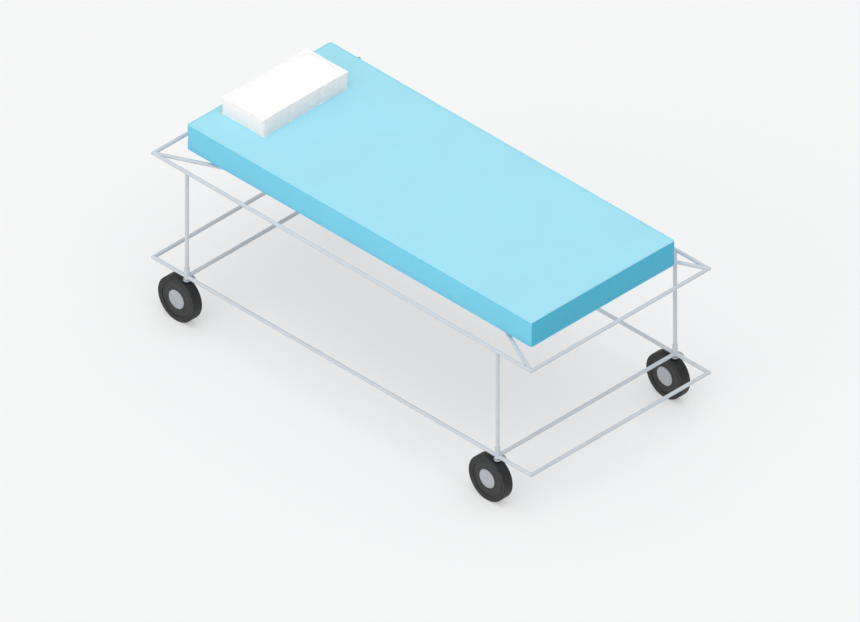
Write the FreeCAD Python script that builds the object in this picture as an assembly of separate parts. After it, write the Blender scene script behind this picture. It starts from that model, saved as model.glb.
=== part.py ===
"""Stretcher trolley: a welded tube frame with a mattress, a pillow and four single-arm swivel castors.

The upper frame is a rectangle of thin steel tube with two crossed diagonals in its plane. The diagonals
carry a flat platform, and the mattress lies on that. Four upright legs stand on the lower frame, a rectangle
of the same size with two cross tubes. At the foot of each leg a socket takes a castor's stem. Each castor has
one arm, a 200 mm wheel on ball bearings and a side-acting foot brake.

Millimetres, +Z up. +X points to the foot end and +Y to the patient's left. The origin is on the floor under
the middle of the frame. Every piece is a solid in a node of its own, written to parts/NODE.step.
"""

import FreeCAD
import Part
import math
import os

V = FreeCAD.Vector
AXIS_X, AXIS_Y, AXIS_Z = V(1, 0, 0), V(0, 1, 0), V(0, 0, 1)

# ---- frame: sizes between tube centre lines ----
FRAME_LENGTH = 2085.0
FRAME_WIDTH = 980.0
LEVEL_RISE = 497.0
LEG_INSET = 185.0
TUBE_R = 8.0
TUBE_WALL = 2.0

# ---- castor ----
WHEEL_R = 100.0
WHEEL_WIDTH = 47.0
TYRE_SHOULDER_R = 3.0
TRAIL = 38.0
STEM_DROP = 118.0
STEM_R = 6.0
RUNNING_GAP = 0.05
THRUST_GAP = 0.2

# ---- socket at the foot of each leg, and the bushes in it ----
SOCKET_R = 11.0
SOCKET_BORE_R = 8.0
SOCKET_LENGTH = 50.0
SOCKET_BELOW_RAIL = 9.0
LEG_INSERT = 10.0
BUSH_FLANGE = 1.5
LOWER_BUSH_LENGTH = 12.0
UPPER_BUSH_LENGTH = 10.0
UPPER_BUSH_RISE = 17.0

# ---- mattress, pillow and platform ----
MATTRESS_SIZE = V(1900, 790, 117)
MATTRESS_EDGE_R = 9.0
MATTRESS_ABOVE_RAIL = 21.0
COVER_SKIN = 1.5
PILLOW_SIZE = V(232, 473, 81)
PILLOW_EDGE_R = 14.0
PILLOW_FROM_HEAD = 42.0
PILLOW_SHIFT_Y = -14.0
PLATFORM_SIZE = V(1850, 740, 11)
PLATFORM_CORNER_R = 60.0
PLATFORM_EDGE_R = 2.0
GRIP_STRIP = V(60, 300, 1)
GRIP_STRIP_X = (-700.0, -230.0, 230.0, 700.0)

# ---- platform saddles, along each diagonal from its middle ----
SADDLE_STATIONS = (-750.0, -350.0, 350.0, 750.0)
SADDLE_WIDTH = 20.0
SADDLE_SHEET = 2.5
SADDLE_EAR = 16.0
SADDLE_CLEARANCE = 0.05
SCREW_R = 2.5
SCREW_HEAD_R = 4.75
SCREW_HEAD = 2.7
SCREW_BITE = 8.0

# ---- drip pole socket, inboard of the left rail near the head end ----
POLE_SOCKET_X = -872.0
POLE_SOCKET_R = 8.0
POLE_SOCKET_WALL = 1.2
POLE_SOCKET_TO_RAIL = 15.2
POLE_SOCKET_ABOVE = 57.0
POLE_SOCKET_BELOW = 45.0
POLE_SOCKET_FLOOR = 3.0
POLE_LINER_WALL = 0.7
POLE_LINER_LIP = 2.0

# ---- places worked out from those ----
LOWER_Z = WHEEL_R + STEM_DROP
UPPER_Z = LOWER_Z + LEVEL_RISE
HALF_LENGTH = FRAME_LENGTH / 2
HALF_WIDTH = FRAME_WIDTH / 2
LEG_X = HALF_LENGTH - LEG_INSET
MATTRESS_Z = UPPER_Z + MATTRESS_ABOVE_RAIL
MATTRESS_TOP = MATTRESS_Z + MATTRESS_SIZE.z
PLATFORM_TOP = MATTRESS_Z - GRIP_STRIP.z
PLATFORM_Z = PLATFORM_TOP - PLATFORM_SIZE.z
SOCKET_Z = LOWER_Z - SOCKET_BELOW_RAIL
SOCKET_TOP = SOCKET_Z + SOCKET_LENGTH
CROWN_TOP = SOCKET_Z - BUSH_FLANGE - THRUST_GAP
CORNERS = {
    "head_right": V(-LEG_X, -HALF_WIDTH, 0),
    "head_left": V(-LEG_X, HALF_WIDTH, 0),
    "foot_right": V(LEG_X, -HALF_WIDTH, 0),
    "foot_left": V(LEG_X, HALF_WIDTH, 0),
}

# ---- castor details, in the castor's own frame: the origin is on the floor under the stem's axis ----
CROWN_SHEET = 6.5
CROWN_HALF = 15.0
ARM_INNER_Y = 27.0
ARM_SHEET = 7.0
ARM_OUTER_Y = ARM_INNER_Y + ARM_SHEET
AXLE_AT = V(-TRAIL, 0, WHEEL_R)
AXLE_R = 6.0
AXLE_HEAD = 7.5
AXLE_END_Y = -17.6
NUT_ACROSS = 19.0
NUT_Y = -17.0
WASHER_Y = -11.6
BEARING_R = 14.0
BEARING_WIDTH = 8.0
BEARING_Y = (8.0, -10.0)
SPACER_R = 9.0
WASHER_R = 10.0
HUB_R = 24.0
HUB_FACE_Y = -15.5
CAP_POCKET_Y = -8.0
RIM_R = 76.0
RIM_FACE = 20.5
RIM_LIP = 6.0
RIM_RECESS = 2.0
RIM_RECESS_SLOPE = 4.0
RIM_RIB_R = 80.0
RIM_RIB_TIP = 6.0
RIM_RIB_ROOT = 8.0
BRAKE_TRACK_Y = 20.0
TRACK_POCKET = 9.0
CAP_R = 41.0
CAP_WALL = 5.8
CAP_SEAT_GAP = 0.2
CAP_SEAT_Y = -18.4
CAP_EDGE_Y = -20.8
CAP_CROWN_Y = -23.4
GRIP_RING_SHEET = 1.2

# ---- foot brake: a rocker on a pin across a window in the arm ----
BRAKE_PIVOT = V(-16.0, 37.5, 160.0)
BRAKE_TRAVEL = 50.0
BRAKE_PIN_R = 2.0
BRAKE_HUB_R = 4.5
BRAKE_SIDE_GAP = 0.3
BRAKE_WIDTH = 12.0
BRAKE_NOSE = 17.2
BRAKE_NOSE_SHEET = 7.0
PEDAL_REST_ANGLE = 75.0
PEDAL_LENGTH = 26.0
PEDAL_SHEET = 4.0
PEDAL_WIDTH = 27.0
PEDAL_PAD_START = 12.0
LUG_SHEET = 3.7
LUG_R = 4.0
WINDOW_HALF = 6.6
WINDOW_LOW = 142.0
WINDOW_HIGH = 168.0


def cylinder(start, end, radius):
    """A solid cylinder between two points."""
    line = end - start
    return Part.makeCylinder(radius, line.Length, start, line)


def rod(start, end, radius):
    """A cylinder with a half ball on each end, so that two rods meet at a corner as one round joint."""
    ends = [Part.makeSphere(radius, point) for point in (start, end)]
    return cylinder(start, end, radius).fuse(ends).removeSplitter()


def box(low, high):
    """A box between two opposite corners."""
    size = high - low
    return Part.makeBox(size.x, size.y, size.z, low)


def prism(points, depth):
    """A flat outline of straight edges, pushed along the vector depth."""
    return Part.Face(Part.makePolygon(points + points[:1])).extrude(depth)


def turned(profile, axis=AXIS_Y, radial=AXIS_X):
    """A solid of revolution from (radius, distance along the axis) points."""
    points = [radial * r + axis * a for r, a in profile]
    face = Part.Face(Part.makePolygon(points + points[:1]))
    return face.revolve(V(0, 0, 0), axis, 360)


def ring(outer, inner, start, end):
    """A plain tube between two points."""
    return cylinder(start, end, outer).cut(cylinder(start, end, inner))


def moved(shape, offset):
    """A copy of the shape, moved by a vector."""
    copy = shape.copy()
    copy.translate(offset)
    return copy


def slot_outline(a, radius_a, b, radius_b, depth):
    """The plate that two discs and their outer tangents enclose, pushed along depth (along Y)."""
    line = b - a
    tilt = math.atan2(line.z, line.x)
    lean = math.acos((radius_a - radius_b) / line.Length)
    edges = []
    for side in (1, -1):
        turn = tilt + side * lean
        out = V(math.cos(turn), 0, math.sin(turn))
        edges.append((a + out * radius_a, b + out * radius_b))
    (a_up, b_up), (a_down, b_down) = edges
    far_a = a - line.normalize() * radius_a
    far_b = b + line * radius_b
    wire = Part.Wire([
        Part.makeLine(a_up, b_up),
        Part.Arc(b_up, far_b, b_down).toShape(),
        Part.makeLine(b_down, a_down),
        Part.Arc(a_down, far_a, a_up).toShape(),
    ])
    return Part.Face(wire).extrude(depth)


def hex_prism(across, centre, height, axis=AXIS_Y):
    """A hexagon head or nut, with its flats the given distance apart."""
    reach = across / math.sqrt(3)
    over = AXIS_Z if axis == AXIS_Y else AXIS_Y
    points = []
    for k in range(6):
        turn = math.radians(60 * k)
        spoke = AXIS_X * math.cos(turn) + over * math.sin(turn)
        points.append(centre + spoke * reach)
    return prism(points, axis * height)


# ---------------------------------------------------------------- the frame

def corner_points(z):
    """The four corners of a rectangle of tube, in order round it, starting at the head end's right."""
    return [
        V(-HALF_LENGTH, -HALF_WIDTH, z),
        V(HALF_LENGTH, -HALF_WIDTH, z),
        V(HALF_LENGTH, HALF_WIDTH, z),
        V(-HALF_LENGTH, HALF_WIDTH, z),
    ]


def mitre_wedge(start, end, z):
    """The space nearer to one side of the rectangle than to the others: its ends are the mitre planes."""
    middle = (start + end) * 0.5
    along = (end - start).normalize()
    inward = (V(0, 0, z) - middle).normalize()
    reach = HALF_WIDTH / 2
    beyond = 4 * TUBE_R
    outline = [
        start - along * beyond - inward * beyond,
        end + along * beyond - inward * beyond,
        end - along * reach + inward * reach,
        start + along * reach + inward * reach,
    ]
    low = V(0, 0, -2 * TUBE_R)
    return prism([p + low for p in outline], V(0, 0, 4 * TUBE_R))


def rectangle_tube(start, end, z):
    """One side of a rectangle of tube, hollow, with mitred ends that are round on the outside."""
    hollow = rod(start, end, TUBE_R).cut(rod(start, end, TUBE_R - TUBE_WALL))
    return hollow.common(mitre_wedge(start, end, z))


def envelope(z):
    """The whole rectangle at one level as solid rods, for coping the tubes that meet it."""
    points = corner_points(z)
    return [rod(points[k], points[(k + 1) % 4], TUBE_R) for k in range(4)]


def upper_frame():
    """The upper rectangle and its crossed diagonals: one runs through, the other is in two halves."""
    a, b, c, d = corner_points(UPPER_Z)
    parts = {
        "upper_rail_right": rectangle_tube(a, b, UPPER_Z),
        "upper_end_rail_foot": rectangle_tube(b, c, UPPER_Z),
        "upper_rail_left": rectangle_tube(c, d, UPPER_Z),
        "upper_end_rail_head": rectangle_tube(d, a, UPPER_Z),
    }
    rails = envelope(UPPER_Z)
    through = ring(TUBE_R, TUBE_R - TUBE_WALL, a, c)
    parts["upper_diagonal_through"] = through.cut(rails)
    halves = ring(TUBE_R, TUBE_R - TUBE_WALL, d, b)
    parts["upper_diagonal_halves"] = halves.cut(rails + [cylinder(a, c, TUBE_R)])
    return parts


def socket_cores():
    """A solid cylinder where each castor socket stands, for coping the tubes that meet it."""
    low, high = V(0, 0, SOCKET_Z), V(0, 0, SOCKET_TOP)
    return [cylinder(at + low, at + high, SOCKET_R) for at in CORNERS.values()]


def lower_frame():
    """The lower rectangle, with its long rails coped on to the castor sockets, and the two cross tubes."""
    a, b, c, d = corner_points(LOWER_Z)
    sockets = socket_cores()
    parts = {
        "lower_rail_right": rectangle_tube(a, b, LOWER_Z).cut(sockets),
        "lower_end_rail_foot": rectangle_tube(b, c, LOWER_Z),
        "lower_rail_left": rectangle_tube(c, d, LOWER_Z).cut(sockets),
        "lower_end_rail_head": rectangle_tube(d, a, LOWER_Z),
    }
    for end in ("head", "foot"):
        right = CORNERS[end + "_right"] + V(0, 0, LOWER_Z)
        left = CORNERS[end + "_left"] + V(0, 0, LOWER_Z)
        tube = ring(TUBE_R, TUBE_R - TUBE_WALL, right, left)
        parts["lower_cross_tube_" + end] = tube.cut(sockets + envelope(LOWER_Z))
    return parts


def legs():
    """The four upright tubes. Each stands in its socket and is coped on to the rail above."""
    rails = envelope(UPPER_Z)
    parts = {}
    for name, at in CORNERS.items():
        bottom = at + V(0, 0, SOCKET_TOP - LEG_INSERT)
        leg = ring(TUBE_R, TUBE_R - TUBE_WALL, bottom, at + V(0, 0, UPPER_Z)).cut(rails)
        parts["leg_" + name] = leg
    return parts


def castor_sockets():
    """The short thick tubes at the feet of the legs."""
    low, high = V(0, 0, SOCKET_Z), V(0, 0, SOCKET_TOP)
    return Part.makeCompound(
        [ring(SOCKET_R, SOCKET_BORE_R, at + low, at + high) for at in CORNERS.values()]
    )


def swivel_bushes():
    """Two plain bushes in each socket. The lower one has a flange that the castor's crown turns against."""
    bore = STEM_R + RUNNING_GAP
    flange_low = SOCKET_Z - BUSH_FLANGE
    upper_low = SOCKET_Z + UPPER_BUSH_RISE
    lower = turned(
        [
            (bore, flange_low),
            (SOCKET_R, flange_low),
            (SOCKET_R, SOCKET_Z),
            (SOCKET_BORE_R, SOCKET_Z),
            (SOCKET_BORE_R, SOCKET_Z + LOWER_BUSH_LENGTH),
            (bore, SOCKET_Z + LOWER_BUSH_LENGTH),
        ],
        axis=AXIS_Z,
    )
    upper = ring(SOCKET_BORE_R, bore, V(0, 0, upper_low), V(0, 0, upper_low + UPPER_BUSH_LENGTH))
    return Part.makeCompound([moved(bush, at) for at in CORNERS.values() for bush in (lower, upper)])


def pole_socket_at(height):
    """The point of the drip-pole socket's axis at that height over the upper rail's centre line."""
    return V(POLE_SOCKET_X, HALF_WIDTH - POLE_SOCKET_TO_RAIL, UPPER_Z + height)


def drip_pole_socket():
    """A blind tube for a drip pole, coped on to the inside of the left rail."""
    low, high = pole_socket_at(-POLE_SOCKET_BELOW), pole_socket_at(POLE_SOCKET_ABOVE)
    floor = pole_socket_at(POLE_SOCKET_FLOOR - POLE_SOCKET_BELOW)
    inside = cylinder(floor, high, POLE_SOCKET_R - POLE_SOCKET_WALL)
    return cylinder(low, high, POLE_SOCKET_R).cut([inside] + envelope(UPPER_Z))


def drip_pole_liner():
    """The plastic sleeve in the drip-pole socket, with a rounded lip that covers the tube's end."""
    sleeve_r = POLE_SOCKET_R - POLE_SOCKET_WALL
    floor = pole_socket_at(POLE_SOCKET_FLOOR - POLE_SOCKET_BELOW)
    tube_end, top = pole_socket_at(POLE_SOCKET_ABOVE), pole_socket_at(POLE_SOCKET_ABOVE + POLE_LINER_LIP)
    lip = cylinder(tube_end, top, POLE_SOCKET_R)
    rim = [e for e in lip.Edges if e.Closed and e.CenterOfMass.z > top.z - 0.01]
    lip = lip.makeFillet(POLE_LINER_LIP * 0.7, rim)
    bore = cylinder(floor, top, sleeve_r - POLE_LINER_WALL)
    return cylinder(floor, tube_end, sleeve_r).fuse(lip).cut(bore).removeSplitter()


# ---------------------------------------------------------------- the platform

def saddle_places():
    """Where each saddle sits and the direction of the diagonal under it."""
    a, b, c, d = corner_points(UPPER_Z)
    places = []
    for start, end in ((a, c), (d, b)):
        along = (end - start).normalize()
        middle = (start + end) * 0.5
        places += [(middle + along * station, along) for station in SADDLE_STATIONS]
    return places


def placed(shape, at, along):
    """A shape modelled along +X at the origin, turned to lie along a level direction at a point."""
    turn = math.degrees(math.atan2(along.y, along.x))
    copy = shape.copy()
    copy.rotate(V(0, 0, 0), AXIS_Z, turn)
    copy.translate(at)
    return copy


def ear_centre():
    """How far to each side of the tube a saddle's screws stand."""
    return TUBE_R + SADDLE_CLEARANCE + SADDLE_SHEET + SADDLE_EAR / 2


def one_saddle():
    """A strap of sheet bent round the underside of the tube, with an ear each side for a screw."""
    inner = TUBE_R + SADDLE_CLEARANCE
    outer = inner + SADDLE_SHEET
    top = PLATFORM_Z - UPPER_Z
    half = V(SADDLE_WIDTH / 2, 0, 0)
    round_part = cylinder(half * -1, half, outer)
    walls = box(V(-half.x, -outer, 0), V(half.x, outer, top))
    ear_reach = outer + SADDLE_EAR
    ears = box(V(-half.x, -ear_reach, top - SADDLE_SHEET), V(half.x, ear_reach, top))
    keep_low = box(V(-half.x, -ear_reach, -outer), V(half.x, ear_reach, top))
    hollow = cylinder(half * -2, half * 2, inner)
    gap = box(V(-2 * half.x, -inner, 0), V(2 * half.x, inner, 2 * top))
    saddle = round_part.fuse([walls, ears]).common(keep_low).cut([hollow, gap])
    holes = [
        cylinder(V(0, side * ear_centre(), -outer), V(0, side * ear_centre(), top), SCREW_R + RUNNING_GAP)
        for side in (1, -1)
    ]
    return saddle.cut(holes).removeSplitter()


def one_screw():
    """A low round-headed screw, from its head under the ear up into the platform."""
    ear_under = PLATFORM_Z - UPPER_Z - SADDLE_SHEET
    tip = ear_under + SADDLE_SHEET + SCREW_BITE
    head = turned(
        [
            (0, ear_under - SCREW_HEAD),
            (SCREW_HEAD_R * 0.6, ear_under - SCREW_HEAD),
            (SCREW_HEAD_R, ear_under - SCREW_HEAD * 0.3),
            (SCREW_HEAD_R, ear_under),
            (SCREW_R, ear_under),
            (SCREW_R, tip),
            (0, tip),
        ],
        axis=AXIS_Z,
    )
    key_reach = 3.0
    key = hex_prism(key_reach, V(0, 0, ear_under - SCREW_HEAD), SCREW_HEAD * 0.6, axis=AXIS_Z)
    return head.cut(key)


def at_each_saddle(make_one, offsets=(0.0,)):
    """The same piece at every saddle, once for each sideways offset."""
    piece = make_one()
    copies = []
    for at, along in saddle_places():
        for offset in offsets:
            copies.append(placed(moved(piece, V(0, offset, 0)), at, along))
    return copies


def platform_parts():
    """The board under the mattress, the saddles that hold it to the diagonals, and their screws."""
    half = PLATFORM_SIZE * 0.5
    board = box(V(-half.x, -half.y, PLATFORM_Z), V(half.x, half.y, PLATFORM_TOP))
    upright = [e for e in board.Edges if abs(e.tangentAt(e.FirstParameter).z) > 0.9]
    board = board.makeFillet(PLATFORM_CORNER_R, upright)
    rims = [e for e in board.Edges if abs(e.tangentAt(e.FirstParameter).z) < 0.1]
    board = board.makeFillet(PLATFORM_EDGE_R, rims)
    offsets = (ear_centre(), -ear_centre())
    screws = at_each_saddle(one_screw, offsets)
    return {
        "mattress_platform": board.cut(screws),
        "platform_saddles": Part.makeCompound(at_each_saddle(one_saddle)),
        "platform_screws": Part.makeCompound(screws),
        "mattress_grip_strips": Part.makeCompound([grip_strip(x) for x in GRIP_STRIP_X]),
    }


def grip_strip(x):
    """A hook-and-loop strip across the platform, under the mattress."""
    half = GRIP_STRIP * 0.5
    return box(V(x - half.x, -half.y, PLATFORM_TOP), V(x + half.x, half.y, MATTRESS_Z))


# ---------------------------------------------------------------- the soft parts

def skin_and_filling(size, centre, z, edge_radius):
    """A rounded block as a closed skin and the filling inside it."""
    half = size * 0.5
    low = V(centre.x - half.x, centre.y - half.y, z)
    outer = box(low, low + size)
    outer = outer.makeFillet(edge_radius, outer.Edges)
    inset = V(COVER_SKIN, COVER_SKIN, COVER_SKIN)
    filling = box(low + inset, low + size - inset)
    filling = filling.makeFillet(edge_radius - COVER_SKIN, filling.Edges)
    return outer.cut(filling), filling


def soft_parts():
    """The mattress and the pillow, each with its cover and its core."""
    pillow_x = -MATTRESS_SIZE.x / 2 + PILLOW_FROM_HEAD + PILLOW_SIZE.x / 2
    pillow_at = V(pillow_x, PILLOW_SHIFT_Y, 0)
    cover, core = skin_and_filling(MATTRESS_SIZE, V(0, 0, 0), MATTRESS_Z, MATTRESS_EDGE_R)
    case, filling = skin_and_filling(PILLOW_SIZE, pillow_at, MATTRESS_TOP, PILLOW_EDGE_R)
    return {
        "mattress_cover": cover,
        "mattress_foam_core": core,
        "pillow_case": case,
        "pillow_filling": filling,
    }


# ---------------------------------------------------------------- one castor, at the origin

def castor_fork():
    """The crown and the single arm, with the brake's window and its two lugs."""
    crown_low = CROWN_TOP - CROWN_SHEET
    depth = V(0, ARM_SHEET, 0)
    boss = cylinder(V(0, 0, crown_low), V(0, 0, CROWN_TOP), CROWN_HALF)
    crown = box(V(-CROWN_HALF, 0, crown_low), V(CROWN_HALF, ARM_OUTER_Y - CROWN_SHEET, CROWN_TOP))
    arm_top = V(0, ARM_INNER_Y, CROWN_TOP - CROWN_HALF)
    arm_end = V(AXLE_AT.x, ARM_INNER_Y, AXLE_AT.z)
    arm = slot_outline(arm_top, CROWN_HALF, arm_end, CROWN_HALF, depth)
    shoulder = shoulder_block(crown_low)
    lugs = [
        brake_lug(side * (BRAKE_WIDTH / 2 + BRAKE_SIDE_GAP), side * LUG_SHEET)
        for side in (1, -1)
    ]
    fork = boss.fuse([crown, shoulder, arm] + lugs).removeSplitter()
    window = box(
        V(BRAKE_PIVOT.x - WINDOW_HALF, ARM_INNER_Y - 1, WINDOW_LOW),
        V(BRAKE_PIVOT.x + WINDOW_HALF, ARM_OUTER_Y, WINDOW_HIGH),
    )
    stem_hole = cylinder(V(0, 0, crown_low), V(0, 0, CROWN_TOP), STEM_R)
    axle_hole = cylinder(arm_end, arm_end + depth, AXLE_R)
    return fork.cut([window, stem_hole, axle_hole, brake_pin()])


def shoulder_block(crown_low):
    """The outer corner between crown and arm, rounded, filling the width of both."""
    low = V(-CROWN_HALF, ARM_OUTER_Y - CROWN_SHEET, crown_low)
    high = V(CROWN_HALF, ARM_OUTER_Y, CROWN_TOP)
    square = box(low, high)
    outer = [
        e for e in square.Edges
        if abs(e.tangentAt(e.FirstParameter).x) > 0.9
        and e.CenterOfMass.y > ARM_OUTER_Y - 0.1
        and e.CenterOfMass.z > CROWN_TOP - 0.1
    ]
    return square.makeFillet(CROWN_SHEET * 0.8, outer)


def brake_lug(start_x, width):
    """A round ear on the arm's outer face, to hold the brake's pin."""
    pivot = BRAKE_PIVOT + V(start_x, 0, 0)
    ear = cylinder(pivot, pivot + V(width, 0, 0), LUG_R)
    low_x, high_x = sorted((pivot.x, pivot.x + width))
    foot = box(V(low_x, ARM_OUTER_Y - 1, pivot.z - LUG_R), V(high_x, BRAKE_PIVOT.y, pivot.z + LUG_R))
    return ear.fuse(foot)


def brake_pin():
    """The pin across the window that the brake rocks on."""
    reach = BRAKE_WIDTH / 2 + BRAKE_SIDE_GAP + LUG_SHEET
    return cylinder(BRAKE_PIVOT - V(reach, 0, 0), BRAKE_PIVOT + V(reach, 0, 0), BRAKE_PIN_R)


def castor_stem():
    """The pin that turns in the socket's bushes, with a groove for the ring that holds it in."""
    low, high = CROWN_TOP - CROWN_SHEET, SOCKET_TOP - LEG_INSERT - 3.0
    groove_low = SOCKET_Z + UPPER_BUSH_RISE + UPPER_BUSH_LENGTH + THRUST_GAP
    groove_high = groove_low + GRIP_RING_SHEET + 0.2
    groove_r = STEM_R - 1.0
    lead = 1.5
    return turned(
        [
            (0, low),
            (STEM_R, low),
            (STEM_R, groove_low),
            (groove_r, groove_low),
            (groove_r, groove_high),
            (STEM_R, groove_high),
            (STEM_R, high - lead),
            (STEM_R - lead, high),
            (0, high),
        ],
        axis=AXIS_Z,
    )


def grip_ring():
    """The split ring in the stem's groove, above the upper bush."""
    low = SOCKET_Z + UPPER_BUSH_RISE + UPPER_BUSH_LENGTH + THRUST_GAP + 0.1
    outer_r, split = SOCKET_BORE_R - 0.5, 2.0
    whole = ring(outer_r, STEM_R - 1.0, V(0, 0, low), V(0, 0, low + GRIP_RING_SHEET))
    return whole.cut(box(V(0, -split, low - 1), V(2 * outer_r, split, low + 2)))


def on_axle(y):
    """The point of the axle's centre line at that y."""
    return V(AXLE_AT.x, y, AXLE_AT.z)


def castor_axle_set():
    """The axle bolt through the arm, its spacers, washer and nut, the brake's pin and the stem's ring."""
    near_bearing, far_bearing = BEARING_Y
    gap = 0.1
    bolt = cylinder(on_axle(AXLE_END_Y), on_axle(ARM_OUTER_Y), AXLE_R)
    head = hex_prism(NUT_ACROSS, on_axle(ARM_OUTER_Y), AXLE_HEAD)
    nut = hex_prism(NUT_ACROSS, on_axle(NUT_Y), WASHER_Y - NUT_Y)
    pieces = [
        bolt.fuse(head).removeSplitter(),
        axle_ring(SPACER_R, near_bearing + BEARING_WIDTH + gap, ARM_INNER_Y),
        axle_ring(SPACER_R, far_bearing + BEARING_WIDTH + gap, near_bearing - gap),
        axle_ring(WASHER_R, WASHER_Y, far_bearing - gap),
        nut.cut(cylinder(on_axle(NUT_Y), on_axle(WASHER_Y), AXLE_R)),
        brake_pin(),
        grip_ring(),
    ]
    return Part.makeCompound(pieces)


def axle_ring(radius, start_y, end_y):
    """A spacer or washer on the axle."""
    return ring(radius, AXLE_R, on_axle(start_y), on_axle(end_y))


def castor_rim():
    """The wheel's moulded centre: hub, web, tyre seat, cap seat and the track the brake presses on."""
    near_bearing, far_bearing = BEARING_Y
    stop_r = BEARING_R - 2.0
    cap_bore, cap_seat_r = CAP_R - CAP_WALL, CAP_R + CAP_SEAT_GAP
    cap_seat_y = CAP_SEAT_Y + CAP_SEAT_GAP
    face, recess_floor = -RIM_FACE, -RIM_FACE + RIM_RECESS
    recess_in, recess_out = CAP_R + RIM_LIP, RIM_R - RIM_LIP
    profile = [
        (BEARING_R, BRAKE_TRACK_Y),
        (BEARING_R, near_bearing),
        (stop_r, near_bearing),
        (stop_r, far_bearing + BEARING_WIDTH),
        (BEARING_R, far_bearing + BEARING_WIDTH),
        (BEARING_R, HUB_FACE_Y),
        (HUB_R, HUB_FACE_Y),
        (HUB_R, CAP_POCKET_Y),
        (cap_bore, CAP_POCKET_Y),
        (cap_bore, cap_seat_y),
        (cap_seat_r, cap_seat_y),
        (cap_seat_r, face),
        (recess_in, face),
        (recess_in + RIM_RECESS_SLOPE, recess_floor),
        (recess_out - RIM_RECESS_SLOPE, recess_floor),
        (recess_out, face),
        (RIM_R, face),
        (RIM_R, -RIM_RIB_ROOT),
        (RIM_RIB_R, -RIM_RIB_TIP),
        (RIM_RIB_R, RIM_RIB_TIP),
        (RIM_R, RIM_RIB_ROOT),
        (RIM_R, BRAKE_TRACK_Y),
        (CAP_R, BRAKE_TRACK_Y),
        (CAP_R, BRAKE_TRACK_Y - TRACK_POCKET),
        (HUB_R + 4.0, BRAKE_TRACK_Y - TRACK_POCKET),
        (HUB_R, BRAKE_TRACK_Y),
    ]
    return moved(turned(profile), AXLE_AT)


def castor_tyre():
    """The rubber tyre, moulded round the rim's rib, with slightly rounded shoulders."""
    half, axis_r = WHEEL_WIDTH / 2, 1.0
    inner = turned([
        (RIM_R, -half),
        (RIM_R, -RIM_RIB_ROOT),
        (RIM_RIB_R, -RIM_RIB_TIP),
        (RIM_RIB_R, RIM_RIB_TIP),
        (RIM_R, RIM_RIB_ROOT),
        (RIM_R, half),
        (axis_r, half),
        (axis_r, -half),
    ])
    side = V(0, half, 0)
    outer = cylinder(side * -1, side, WHEEL_R)
    outer = outer.makeFillet(TYRE_SHOULDER_R, [e for e in outer.Edges if e.Closed])
    core = cylinder(side * -1, side, 2 * axis_r)
    return moved(outer.cut([inner, core]), AXLE_AT)


def castor_bearings():
    """Two sealed ball bearings in the hub."""
    groove, lip = 0.6, 3.0
    bore = AXLE_R + RUNNING_GAP
    seal_in, seal_out = bore + lip, BEARING_R - lip
    one = turned([
        (bore, 0),
        (seal_in, 0),
        (seal_in, groove),
        (seal_out, groove),
        (seal_out, 0),
        (BEARING_R, 0),
        (BEARING_R, BEARING_WIDTH),
        (seal_out, BEARING_WIDTH),
        (seal_out, BEARING_WIDTH - groove),
        (seal_in, BEARING_WIDTH - groove),
        (seal_in, BEARING_WIDTH),
        (bore, BEARING_WIDTH),
    ])
    return Part.makeCompound([moved(one, AXLE_AT + V(0, y, 0)) for y in BEARING_Y])


def castor_hub_cap():
    """The round cap over the axle's nut: a domed disc with a snap ring behind it."""
    spigot_r, spigot_sheet, spigot_y = CAP_R - CAP_WALL - CAP_SEAT_GAP, 2.0, -12.0
    shoulder_r, shoulder_y = CAP_R - 1.5, CAP_EDGE_Y - 0.8
    rise = shoulder_y - CAP_CROWN_Y
    dome_r = (shoulder_r**2 + rise**2) / (2 * rise)
    half_rise = dome_r - math.sqrt(dome_r**2 - (shoulder_r / 2) ** 2)
    rim_edge = AXIS_X * CAP_R + AXIS_Y * CAP_EDGE_Y
    shoulder = AXIS_X * shoulder_r + AXIS_Y * shoulder_y
    crown = AXIS_Y * CAP_CROWN_Y
    half_way = AXIS_X * (shoulder_r / 2) + AXIS_Y * (CAP_CROWN_Y + half_rise)
    inner = [
        (0, CAP_SEAT_Y),
        (spigot_r - spigot_sheet, CAP_SEAT_Y),
        (spigot_r - spigot_sheet, spigot_y),
        (spigot_r, spigot_y),
        (spigot_r, CAP_SEAT_Y),
        (CAP_R, CAP_SEAT_Y),
    ]
    points = [AXIS_X * r + AXIS_Y * y for r, y in inner]
    wire = Part.Wire([
        Part.makeLine(crown, points[0]),
        *Part.makePolygon(points).Edges,
        Part.makeLine(points[-1], rim_edge),
        Part.makeLine(rim_edge, shoulder),
        Part.Arc(shoulder, half_way, crown).toShape(),
    ])
    return moved(Part.Face(wire).revolve(V(0, 0, 0), AXIS_Y, 360), AXLE_AT)


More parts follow.
